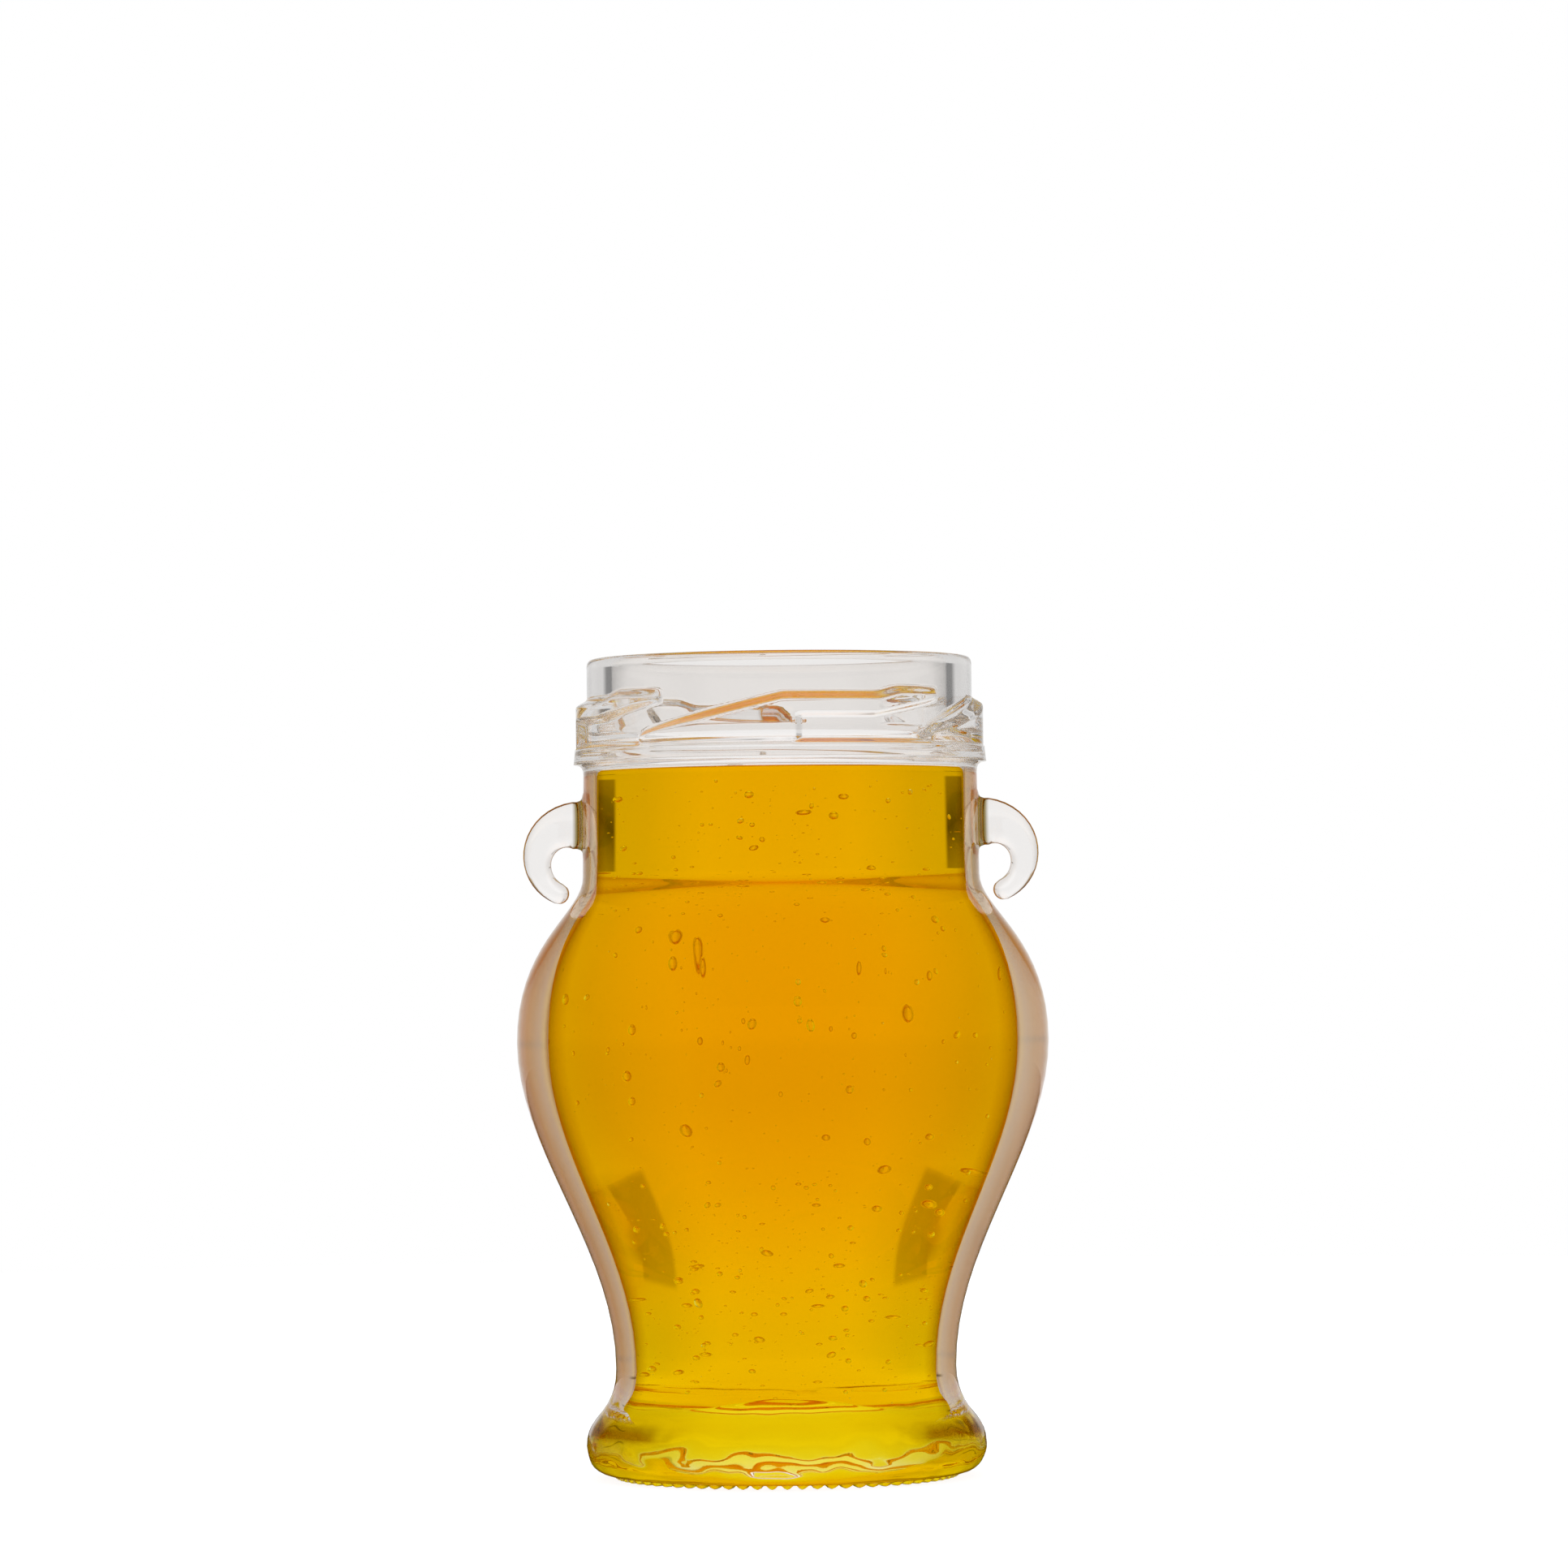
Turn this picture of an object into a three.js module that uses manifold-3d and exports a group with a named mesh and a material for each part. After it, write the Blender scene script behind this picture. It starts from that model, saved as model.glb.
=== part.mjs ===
// Amphora-shaped glass jar with a four-lug mouth and two hook handles, filled with honey.
// Millimetres, +Z up, origin in the middle of the base, front towards -Y.
import * as THREE from 'three';
import { mergeVertices } from 'three/addons/utils/BufferGeometryUtils.js';
import Module from 'manifold-3d';

// Base and foot
const bearingRadius = 21.3;
const bearingWidth = 2.2;
const knurlCount = 72;
const knurlHeight = 0.55;
const knurlLength = 1.9;
const knurlRootWidth = 1.5;
const knurlCrestWidth = 0.6;
const pushUpHeight = 0.8;
const pushUpRound = 5.0;
const heelRun = 2.4;
const heelRise = 1.9;
const footRadius = 25.8;
const footLevel = 4.3;

// Body, given at the levels where its wall stands upright
const waistRadius = 21.95;
const waistLevel = 14.2;
const bellyRadius = 34.35;
const bellyLevel = 56.2;
const neckRadius = 25.65;
const neckTaper = 0.2;
const neckLevel = 77.6;

// How long each curve of the body stays upright at its lower and upper end, as a share of its rise
const footCurve = { low: 0.39, high: 0.59 };
const flankCurve = { low: 0.37, high: 0.33 };
const shoulderCurve = { low: 0.62, high: 0.22 };

// Glass thickness
const waistWall = 2.6;
const bellyWall = 4.0;
const neckWall = 1.85;
const finishWall = 3.2;
const footWall = 4.4;

// Floor of the cavity: a dome that falls to a round gutter, which turns up into the foot
const domeLevel = 8.4;
const domeFlat = 0.35;
const gutterRadius = 17.8;
const gutterLevel = 2.7;
const gutterFlat = 0.6;
const gutterTop = 6.4;
const hollowCurve = { low: 0.3, high: 0.5 };

// Mouth, with its levels measured down from the rim
const jarHeight = 105.7;
const finishRadius = 24.9;
const rimRound = 1.0;
const boreDepth = 9.0;
const boreFlare = 4.6;
const boreCurve = { low: 0.5, high: 0.5 };
const beadReach = 1.8;
const beadDepth = 11.1;
const beadHeight = 2.5;
const beadSlant = 0.6;
const beadDraft = 0.2;
const beadFillet = 1.3;

// Lugs, with angles in degrees from the jar's front
const lugCount = 4;
const lugReach = 1.45;
const lugRoot = 0.6;
const lugDepth = 5.1;
const lugThickness = 3.4;
const lugSlant = 1.0;
const lugStart = -46;
const lugStartRound = 3;
const lugRampEnd = 1;
const lugStop = 4;
const lugStopFace = 3;
const lugLeadIn = 28;
const lugCrown = 37;
const lugCrownRise = 0.7;
const lugTip = 53;
const lugTipThickness = 1.0;
const lugStep = 6;

// Handles
const handleBend = 4.6;
const handleOffset = 1.25;
const handleLift = 2.1;
const handleSweep = 156;
const handleRootHeight = 6.1;
const handleRootDepth = 5.0;
const handleTipSize = 2.7;
const handleTaper = 1.5;
const handleSides = 14;
const handleRings = 12;
const tipRings = 3;

// Honey
const fillDepth = 14.3;
const fillClearance = 0.3;

const roundSegments = 48;

const wasm = await Module();
wasm.setup();

const clearGlass = new THREE.MeshStandardMaterial({
  color: 0xdde3e1,
  roughness: 0.04,
  metalness: 0,
  transparent: true,
  opacity: 0.35,
});
const honey = new THREE.MeshStandardMaterial({ color: 0xd98a06, roughness: 0.08, metalness: 0 });

const boreRadius = finishRadius - finishWall;
const beadTop = jarHeight - beadDepth;
const beadBottom = beadTop - beadHeight;
const beadRadius = finishRadius + beadReach;
const lugTop = jarHeight - lugDepth;
const lugUnderside = lugTop - lugThickness;
const fillLevel = jarHeight - fillDepth;

const at = (radius, level) => new THREE.Vector2(radius, level);

// Curve between two levels of a wall, upright at both ends
function wallCurve(low, high, share) {
  const rise = high.y - low.y;
  const lowHandle = at(low.x, low.y + share.low * rise);
  const highHandle = at(high.x, high.y - share.high * rise);
  return new THREE.CubicBezierCurve(low, lowHandle, highHandle, high);
}

// Rounded corner between two points of an outline
function corner(from, apex, to, steps) {
  return new THREE.QuadraticBezierCurve(from, apex, to).getPoints(steps);
}

function revolve(outline) {
  return new THREE.LatheGeometry(outline, roundSegments).rotateX(Math.PI / 2);
}

// Closed body through a row of rings with equally many points
function loft(rings) {
  const sides = rings[0].length;
  const lastRing = (rings.length - 1) * sides;
  const index = [];
  for (let side = 0; side < sides; side += 1) {
    const next = (side + 1) % sides;
    for (let ring = 0; ring < lastRing; ring += sides) {
      index.push(ring + side, ring + sides + next, ring + next);
      index.push(ring + side, ring + sides + side, ring + sides + next);
    }
  }
  for (let side = 1; side + 1 < sides; side += 1) {
    index.push(0, side, side + 1);
    index.push(lastRing, lastRing + side + 1, lastRing + side);
  }
  return new THREE.BufferGeometry().setFromPoints(rings.flat()).setIndex(index);
}

function toSolid(geometry) {
  const bare = geometry.clone();
  bare.deleteAttribute('normal');
  bare.deleteAttribute('uv');
  const merged = mergeVertices(bare);
  const corners = merged.index.array;
  const triangles = [];
  for (let start = 0; start < corners.length; start += 3) {
    const [a, b, c] = corners.slice(start, start + 3);
    if (a !== b && b !== c && c !== a) {
      triangles.push(a, b, c);
    }
  }
  return new wasm.Manifold(new wasm.Mesh({
    numProp: 3,
    vertProperties: merged.attributes.position.array,
    triVerts: new Uint32Array(triangles),
  }));
}

function toGeometry(solid) {
  const mesh = solid.getMesh();
  const geometry = new THREE.BufferGeometry();
  geometry.setAttribute('position', new THREE.BufferAttribute(mesh.vertProperties, 3));
  geometry.setIndex(new THREE.BufferAttribute(mesh.triVerts, 1));
  geometry.computeVertexNormals();
  return geometry;
}

// Cavity wall from the middle of the floor up to the neck, drawn in by a clearance
function cavityOutline(clearance) {
  const crest = at(0, domeLevel + clearance);
  const gutter = at(gutterRadius, gutterLevel + clearance);
  const dome = new THREE.CubicBezierCurve(
    crest,
    at(domeFlat * gutterRadius, crest.y),
    at((1 - gutterFlat) * gutterRadius, gutter.y),
    gutter,
  );
  const foot = at(footRadius - footWall - clearance, gutterTop);
  const waist = at(waistRadius - waistWall - clearance, waistLevel);
  const belly = at(bellyRadius - bellyWall - clearance, bellyLevel);
  const neck = at(neckRadius - neckWall - clearance, neckLevel);
  return [
    ...dome.getPoints(5),
    ...corner(gutter, at(foot.x, gutter.y), foot, 4).slice(1),
    ...wallCurve(foot, waist, hollowCurve).getPoints(3).slice(1),
    ...wallCurve(waist, belly, flankCurve).getPoints(8).slice(1),
    ...wallCurve(belly, neck, shoulderCurve).getPoints(7).slice(1),
  ];
}

// Outside of the jar from the middle of the underside up to the neck
function bodyOutline() {
  const bearingInner = bearingRadius - bearingWidth / 2;
  const bearingOuter = bearingRadius + bearingWidth / 2;
  const hollowTop = knurlHeight + pushUpHeight;
  const foot = at(footRadius, footLevel);
  const waist = at(waistRadius, waistLevel);
  const belly = at(bellyRadius, bellyLevel);
  const heel = new THREE.CubicBezierCurve(
    at(bearingOuter, knurlHeight),
    at(bearingOuter + heelRun, knurlHeight),
    at(footRadius, footLevel - heelRise),
    foot,
  );
  return [
    at(0, hollowTop),
    ...corner(
      at(bearingInner - pushUpRound, hollowTop),
      at(bearingInner, hollowTop),
      at(bearingInner, knurlHeight),
      4,
    ),
    ...heel.getPoints(5),
    ...wallCurve(foot, waist, footCurve).getPoints(6).slice(1),
    ...wallCurve(waist, belly, flankCurve).getPoints(9).slice(1),
    ...wallCurve(belly, at(neckRadius, neckLevel), shoulderCurve).getPoints(8).slice(1),
  ];
}

// Outside of the mouth from under the bead, over the rim and down the bore to the cavity
function mouthOutline() {
  const neckTop = neckRadius - neckTaper;
  const neckBore = neckRadius - neckWall;
  const flare = wallCurve(
    at(neckBore, jarHeight - boreDepth - boreFlare),
    at(boreRadius, jarHeight - boreDepth),
    boreCurve,
  );
  return [
    ...corner(at(neckTop, beadBottom - beadFillet), at(neckTop, beadBottom), at(beadRadius, beadBottom), 3),
    at(beadRadius - beadDraft, beadTop - beadSlant),
    at(finishRadius, beadTop),
    ...corner(
      at(finishRadius, jarHeight - rimRound),
      at(finishRadius, jarHeight),
      at(finishRadius - rimRound, jarHeight),
      3,
    ),
    ...corner(
      at(boreRadius + rimRound, jarHeight),
      at(boreRadius, jarHeight),
      at(boreRadius, jarHeight - rimRound),
      3,
    ),
    ...flare.getPoints(4).reverse(),
  ];
}

// One short radial ridge under the bearing ring, along +X, with its flanks running on into the glass
function knurlRidge() {
  const seat = 2 * knurlHeight;
  const seatWidth = 2 * knurlRootWidth - knurlCrestWidth;
  const section = new THREE.Shape([
    at(-knurlCrestWidth / 2, 0),
    at(knurlCrestWidth / 2, 0),
    at(seatWidth / 2, seat),
    at(-seatWidth / 2, seat),
  ]);
  const ridge = new THREE.ExtrudeGeometry(section, { depth: knurlLength, bevelEnabled: false, steps: 1 });
  ridge.rotateX(Math.PI / 2).rotateZ(Math.PI / 2);
  return ridge.translate(bearingRadius - knurlLength / 2, 0, 0);
}

// Section of a lug at one angle, from its root inside the wall round to the root again
function lugRing(angle, top, bottom, reach) {
  const root = finishRadius - lugRoot;
  const outer = THREE.MathUtils.lerp(finishRadius - lugRoot / 2, finishRadius + lugReach, reach);
  const outerTop = Math.max(top - lugSlant, bottom + lugTipThickness / 2);
  const rootTop = top + (lugSlant * lugRoot) / lugReach;
  const outline = [at(root, bottom), at(outer, bottom), at(outer, outerTop), at(root, rootTop)];
  const turn = THREE.MathUtils.degToRad(angle);
  return outline.map(({ x, y }) => new THREE.Vector3(x * Math.sin(turn), -x * Math.cos(turn), y));
}

// Closing lug: a ramp that stands on the bead, a stop, and a ledge with a raised lead-in
function lug() {
  const seat = beadTop - beadSlant - (beadHeight - beadSlant) / 2;
  const crown = lugTop + lugCrownRise;
  const crownUnderside = (lugUnderside + crown - lugTipThickness) / 2;
  const stations = [
    { angle: lugStart, top: beadTop, bottom: seat, reach: 0 },
    { angle: lugStart + lugStartRound, top: beadTop + lugSlant, bottom: seat, reach: 1 },
    { angle: lugRampEnd, top: lugTop, bottom: seat, reach: 1 },
    { angle: lugStop, top: lugTop, bottom: seat, reach: 1 },
    { angle: lugStop + lugStopFace, top: lugTop, bottom: lugUnderside, reach: 1 },
    { angle: lugLeadIn, top: lugTop, bottom: lugUnderside, reach: 1 },
    { angle: lugCrown, top: crown, bottom: crownUnderside, reach: 1 },
    { angle: lugTip, top: crown - lugSlant, bottom: crown - lugSlant - lugTipThickness, reach: 0 },
  ];
  const rings = [];
  for (let i = 0; i + 1 < stations.length; i += 1) {
    const from = stations[i];
    const to = stations[i + 1];
    const steps = Math.ceil((to.angle - from.angle) / lugStep);
    for (let step = i === 0 ? 0 : 1; step <= steps; step += 1) {
      const mix = (key) => THREE.MathUtils.lerp(from[key], to[key], step / steps);
      rings.push(lugRing(mix('angle'), mix('top'), mix('bottom'), mix('reach')));
    }
  }
  return loft(rings);
}

// Hook handle on the +X side: a tapering arm that leaves the neck and curls down to a free round tip
function handle() {
  const pivot = new THREE.Vector3(neckRadius + handleOffset, 0, neckLevel + handleLift);
  const oval = (centre, outwards, height, depth) => {
    const ring = [];
    for (let side = 0; side < handleSides; side += 1) {
      const turn = (2 * Math.PI * (side + 0.5)) / handleSides;
      const point = centre.clone().addScaledVector(outwards, (height / 2) * Math.cos(turn));
      point.y += (depth / 2) * Math.sin(turn);
      ring.push(point);
    }
    return ring;
  };
  const spoke = (turn) => new THREE.Vector3(Math.cos(turn), 0, Math.sin(turn));
  const rootSeat = new THREE.Vector3(neckRadius - neckWall / 2, 0, pivot.z + handleBend);
  const rings = [oval(rootSeat, spoke(Math.PI / 2), handleRootHeight, handleRootDepth)];
  const tipTurn = Math.PI / 2 - THREE.MathUtils.degToRad(handleSweep);
  for (let ring = 0; ring <= handleRings; ring += 1) {
    const travel = ring / handleRings;
    const outwards = spoke(THREE.MathUtils.lerp(Math.PI / 2, tipTurn, travel));
    const girth = (1 - travel) ** handleTaper;
    const height = THREE.MathUtils.lerp(handleTipSize, handleRootHeight, girth);
    const depth = THREE.MathUtils.lerp(handleTipSize, handleRootDepth, girth);
    rings.push(oval(pivot.clone().addScaledVector(outwards, handleBend), outwards, height, depth));
  }
  const tipOutwards = spoke(tipTurn);
  const tipAhead = spoke(tipTurn - Math.PI / 2);
  const tipCentre = pivot.clone().addScaledVector(tipOutwards, handleBend);
  for (let ring = 1; ring <= tipRings; ring += 1) {
    const turn = (Math.PI / 2) * (ring / (tipRings + 0.5));
    const centre = tipCentre.clone().addScaledVector(tipAhead, (handleTipSize / 2) * Math.sin(turn));
    const size = handleTipSize * Math.cos(turn);
    rings.push(oval(centre, tipOutwards, size, size));
  }
  return loft(rings);
}

function glassJar() {
  const outline = [...bodyOutline(), ...mouthOutline(), ...cavityOutline(0).reverse()];
  let glass = toSolid(revolve(outline));
  for (let turn = 0; turn < knurlCount; turn += 1) {
    glass = glass.add(toSolid(knurlRidge().rotateZ((2 * Math.PI * turn) / knurlCount)));
  }
  for (let turn = 0; turn < lugCount; turn += 1) {
    glass = glass.add(toSolid(lug().rotateZ((2 * Math.PI * turn) / lugCount)));
  }
  for (const side of [0, Math.PI]) {
    glass = glass.add(toSolid(handle().rotateZ(side)));
  }
  return toGeometry(glass);
}

function honeyFill() {
  const top = at(neckRadius - neckWall - fillClearance, fillLevel);
  return revolve([...cavityOutline(fillClearance), top, at(0, fillLevel)]);
}

function piece(name, geometry, material) {
  const mesh = new THREE.Mesh(geometry, material);
  mesh.name = name;
  return mesh;
}

const jar = new THREE.Group();
jar.add(piece('glass_jar', glassJar(), clearGlass));
jar.add(piece('honey_fill', honeyFill(), honey));

export default jar;
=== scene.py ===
import math
import random

import bmesh
import bpy
from mathutils import Euler, Matrix, Quaternion, Vector
from mathutils.geometry import interpolate_bezier
from mathutils.noise import fractal


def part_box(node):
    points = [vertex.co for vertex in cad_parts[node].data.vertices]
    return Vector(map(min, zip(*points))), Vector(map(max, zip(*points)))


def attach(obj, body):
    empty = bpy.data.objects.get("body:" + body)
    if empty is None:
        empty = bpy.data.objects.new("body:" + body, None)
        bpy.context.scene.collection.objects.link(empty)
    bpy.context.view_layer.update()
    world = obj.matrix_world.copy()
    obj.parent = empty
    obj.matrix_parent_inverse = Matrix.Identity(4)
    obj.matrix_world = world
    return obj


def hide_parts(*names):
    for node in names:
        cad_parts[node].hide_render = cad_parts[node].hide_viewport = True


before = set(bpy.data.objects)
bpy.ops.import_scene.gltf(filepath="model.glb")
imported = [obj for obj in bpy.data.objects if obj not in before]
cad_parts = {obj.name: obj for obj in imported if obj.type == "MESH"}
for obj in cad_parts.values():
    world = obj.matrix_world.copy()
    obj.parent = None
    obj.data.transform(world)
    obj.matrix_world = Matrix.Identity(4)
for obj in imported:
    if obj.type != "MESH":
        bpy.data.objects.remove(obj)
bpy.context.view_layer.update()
scene = bpy.context.scene

# The jar is one piece of clear glass: knurled base, foot, belly, neck, bead and rim come out of one
# mould. Its body is turned here from one outline, which starts and ends on the axis.
# Lengths are in millimetres, and a finished mesh is scaled to metres.
MM = 0.001
WELD = 0.002
TURN = 2 * math.pi
glass_columns = 360

jar_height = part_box("glass_jar")[1].z / MM - WELD
belly_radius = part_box("glass_jar")[1].x / MM - WELD
belly_level = 56.2
neck_radius = 25.65
neck_taper = 0.2
neck_level = 77.6
waist_radius = 21.95
waist_level = 14.2
foot_radius = 25.8
foot_level = 4.3
foot_curve = (0.39, 0.59)
flank_curve = (0.37, 0.33)
shoulder_curve = (0.62, 0.22)
body_rows = (12, 18, 18, 24)

bearing_inner = 20.2
bearing_outer = 22.4
knurl_height = 0.55
push_up_height = 1.35
push_up_round = 5.0
heel_run = 2.4
heel_rise = 1.9
underside_rows = (4, 7, 8, 10)

waist_wall = 2.6
belly_wall = 4.0
neck_wall = 1.85
dome_level = 8.4
dome_curve = (0.35, 0.6)
gutter_level = 2.7
gutter_radius = 17.8
foot_wall = 4.4
corner_level = 6.4
hollow_curve = (0.3, 0.5)
cavity_rows = (14, 8, 9, 18, 16)

finish_radius = 24.9
bore_radius = 21.7
rim_round = 1.0
rim_level = jar_height - rim_round
plain_rim = 3.5
lug_band_top = jar_height - plain_rim
bore_depth = 9.0
bore_level = jar_height - bore_depth
flare_height = 4.6
flare_level = bore_level - flare_height
flare_curve = (0.5, 0.5)
bead_radius = 26.7
bead_depth = 11.1
bead_top = jar_height - bead_depth
bead_height = 2.5
bead_bottom = bead_top - bead_height
bead_slant = 0.6
bead_draft = 0.2
bead_fillet = 1.3
bead_rows = (6, 6, 5)
finish_rows = (38, 11)
rim_rows = 6
bore_rows = (11, 4, 9)


def point(radius, level):
    """Point of an outline."""
    return Vector((radius, 0.0, level))


def straight(start, end, count):
    """Straight run of points."""
    return [start.lerp(end, step / (count - 1)) for step in range(count)]


def rounded(start, apex, end, count):
    """Corner that leaves start and reaches end along the lines to their apex."""
    return interpolate_bezier(start, start.lerp(apex, 2 / 3), end.lerp(apex, 2 / 3), end, count)


def wall_curve(low, high, share, count):
    """Wall that stands upright at both ends, for a share of its rise each."""
    rise = Vector((0.0, 0.0, high.z - low.z))
    return interpolate_bezier(low, low + share[0] * rise, high - share[1] * rise, high, count)


def underside_outline():
    """From the middle of the push-up over the bearing ring and the heel to the foot's side."""
    foot = point(foot_radius, foot_level)
    hollow = point(bearing_inner - push_up_round, push_up_height)
    ring = point(bearing_inner, knurl_height)
    bearing = point(bearing_outer, knurl_height)
    heel = (bearing, bearing + point(heel_run, 0), foot - point(0, heel_rise), foot)
    return (
        straight(point(0, push_up_height), hollow, underside_rows[0])
        + rounded(hollow, point(bearing_inner, push_up_height), ring, underside_rows[1])
        + straight(ring, bearing, underside_rows[2])
        + interpolate_bezier(*heel, underside_rows[3])
    )


def body_outline():
    """Outside from the foot over the waist, belly and shoulder to the top of the neck."""
    waist = point(waist_radius, waist_level)
    belly = point(belly_radius, belly_level)
    neck = point(neck_radius, neck_level)
    neck_top = point(neck_radius - neck_taper, bead_bottom - bead_fillet)
    return (
        wall_curve(point(foot_radius, foot_level), waist, foot_curve, body_rows[0])
        + wall_curve(waist, belly, flank_curve, body_rows[1])
        + wall_curve(belly, neck, shoulder_curve, body_rows[2])
        + straight(neck, neck_top, body_rows[3])
    )


def bead_outline():
    """Outside of the bead, from the neck to the foot of the mouth's wall."""
    neck_top = neck_radius - neck_taper
    neck_end = point(neck_top, bead_bottom - bead_fillet)
    edge = point(bead_radius, bead_bottom)
    brow = point(bead_radius - bead_draft, bead_top - bead_slant)
    return (
        rounded(neck_end, point(neck_top, bead_bottom), edge, bead_rows[0])
        + straight(edge, brow, bead_rows[1])
        + straight(brow, point(finish_radius, bead_top), bead_rows[2])
    )


def mouth_outline():
    """Outside of the mouth, over the rim and down the bore to the neck's inside."""
    outer_rim = (
        point(finish_radius, rim_level), point(finish_radius, jar_height),
        point(finish_radius - rim_round, jar_height),
    )
    inner_rim = (
        point(bore_radius + rim_round, jar_height), point(bore_radius, jar_height),
        point(bore_radius, rim_level),
    )
    lug_band = (point(finish_radius, bead_top), point(finish_radius, lug_band_top))
    bore_ledge = point(bore_radius, lug_band_top)
    bore_foot = point(bore_radius, bore_level)
    flare_foot = point(neck_radius - neck_wall, flare_level)
    return (
        straight(*lug_band, finish_rows[0])
        + straight(lug_band[1], outer_rim[0], finish_rows[1])
        + rounded(*outer_rim, rim_rows)
        + rounded(*inner_rim, rim_rows)
        + straight(inner_rim[2], bore_ledge, bore_rows[0])
        + straight(bore_ledge, bore_foot, bore_rows[1])
        + wall_curve(flare_foot, bore_foot, flare_curve, bore_rows[2])[::-1]
    )


def cavity_outline(gap):
    """Inside wall from the domed floor over its gutter to the neck, drawn in by a gap."""
    waist = point(waist_radius - waist_wall - gap, waist_level)
    belly = point(belly_radius - belly_wall - gap, belly_level)
    neck = point(neck_radius - neck_wall - gap, neck_level)
    dome = point(0, dome_level + gap)
    gutter = point(gutter_radius, gutter_level + gap)
    slope = point(gutter_radius, 0)
    floor = (dome, dome + dome_curve[0] * slope, gutter - dome_curve[1] * slope, gutter)
    corner = point(foot_radius - foot_wall - gap, corner_level)
    return (
        interpolate_bezier(*floor, cavity_rows[0])
        + rounded(gutter, point(corner.x, gutter.z), corner, cavity_rows[1])
        + wall_curve(corner, waist, hollow_curve, cavity_rows[2])
        + wall_curve(waist, belly, flank_curve, cavity_rows[3])
        + wall_curve(belly, neck, shoulder_curve, cavity_rows[4])
    )


def spin_outline(outline, columns):
    """Closed body turned from an outline: one quarter first, and then its copies."""
    bm = bmesh.new()
    chain = [bm.verts.new(place) for place in outline]
    links = [bm.edges.new(pair) for pair in zip(chain, chain[1:])]
    axis = {"cent": (0, 0, 0), "axis": (0, 0, 1)}
    bmesh.ops.spin(bm, geom=chain + links, angle=TURN / 4, steps=columns // 4, **axis)
    quarter = bm.verts[:] + bm.edges[:] + bm.faces[:]
    bmesh.ops.spin(bm, geom=quarter, angle=TURN * 3 / 4, steps=3, use_duplicate=True, **axis)
    bmesh.ops.remove_doubles(bm, verts=bm.verts, dist=WELD)
    return bm


def reach_of(place):
    """Distance from the jar's axis."""
    return math.hypot(place.x, place.y)


cavity = cavity_outline(0)
outside = underside_outline() + body_outline() + bead_outline() + mouth_outline()
glass = spin_outline(outside + cavity[::-1], glass_columns)

# The jar stands on a bearing ring of the same glass. It is knurled: short round ridges that run
# outwards, pressed by the mould's bottom plate.
knurl_count = 72
knurl_valley = 0.31
knurl_fullness = 4

for vert in glass.verts:
    reach = reach_of(vert.co)
    if abs(vert.co.z - knurl_height) < WELD and bearing_inner < reach < bearing_outer:
        turn = math.atan2(vert.co.y, vert.co.x)
        wave = abs(math.cos(turn * knurl_count / 2))
        crest = max(wave - knurl_valley, 0) / (1 - knurl_valley)
        off = (2 * reach - bearing_inner - bearing_outer) / (bearing_outer - bearing_inner)
        vert.co.z -= knurl_height * crest * math.sqrt(max(1 - off**knurl_fullness, 0))

# Above the ring the foot is solid glass, and its outside is slightly wavy, as thick glass is that
# has cooled unevenly in the mould. The waves fade out towards the waist.
foot_levels = (5, 15)
foot_underside = 0.7
foot_wave = 0.2
wave_cells = Vector((0.18, 0.18, 0.28))
wave_octaves = 2
wave_fineness = 2.0
wave_fading = 1.0


def clamp(value):
    """Value held between 0 and 1."""
    return min(max(value, 0.0), 1.0)


def ease(value):
    """Soft step from 0 to 1."""
    value = clamp(value)
    return value * value * (3 - 2 * value)


def foot_share(level):
    """1 in the foot, fading to 0 at the waist."""
    return 1 - ease((level - foot_levels[0]) / (foot_levels[1] - foot_levels[0]))


for vert in glass.verts:
    reach = reach_of(vert.co)
    if foot_underside < vert.co.z < foot_levels[1] and reach > waist_radius - WELD:
        pattern = fractal(vert.co * wave_cells, wave_fading, wave_fineness, wave_octaves)
        vert.co.xy *= 1 + foot_wave * foot_share(vert.co.z) * pattern / reach

# Four closing lugs stand out of the mouth's wall, moulded with it, for a lug cap. Each climbs
# from the bead as a ramp, ends in a stop, and goes on as a ledge with a raised lead-in.
# Angles are in degrees from the lug's own middle.
lug_count = 4
lug_pitch = 360 / lug_count
lug_reach = 1.45
lug_depth = 5.1
lug_top = jar_height - lug_depth
lug_thickness = 3.4
lug_underside = lug_top - lug_thickness
lug_slant = 1.2
lug_edge = 0.7
lug_start = -46
lug_start_round = 4
lug_ramp_end = 1
lug_stop = 4
lug_stop_face = 3
lug_lead_in = 28
lug_crown = 37
lug_crown_rise = 0.7
lug_tip = 53
lug_tip_round = 9
lug_tip_lift = 2.1


def lug_height(turn, level):
    """How far one lug stands out of the wall at an angle and a level."""
    ramp_share = clamp((turn - lug_start) / (lug_ramp_end - lug_start))
    crown = lug_crown_rise * ease((turn - lug_lead_in) / (lug_crown - lug_lead_in))
    low = bead_top + lug_slant
    top = low + (lug_top - low) * ramp_share + crown
    lead_in = lug_tip_lift * clamp((turn - lug_lead_in) / (lug_tip - lug_lead_in))
    over = ease((top - level) / lug_slant)
    under = ease((level - lug_underside - lead_in) / lug_edge)
    opening = ease((turn - lug_stop) / lug_stop_face)
    start = ease((turn - lug_start) / lug_start_round)
    tip = math.sqrt(clamp((lug_tip - turn) / lug_tip_round))
    return lug_reach * over * (1 - opening + opening * under) * start * tip


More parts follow.
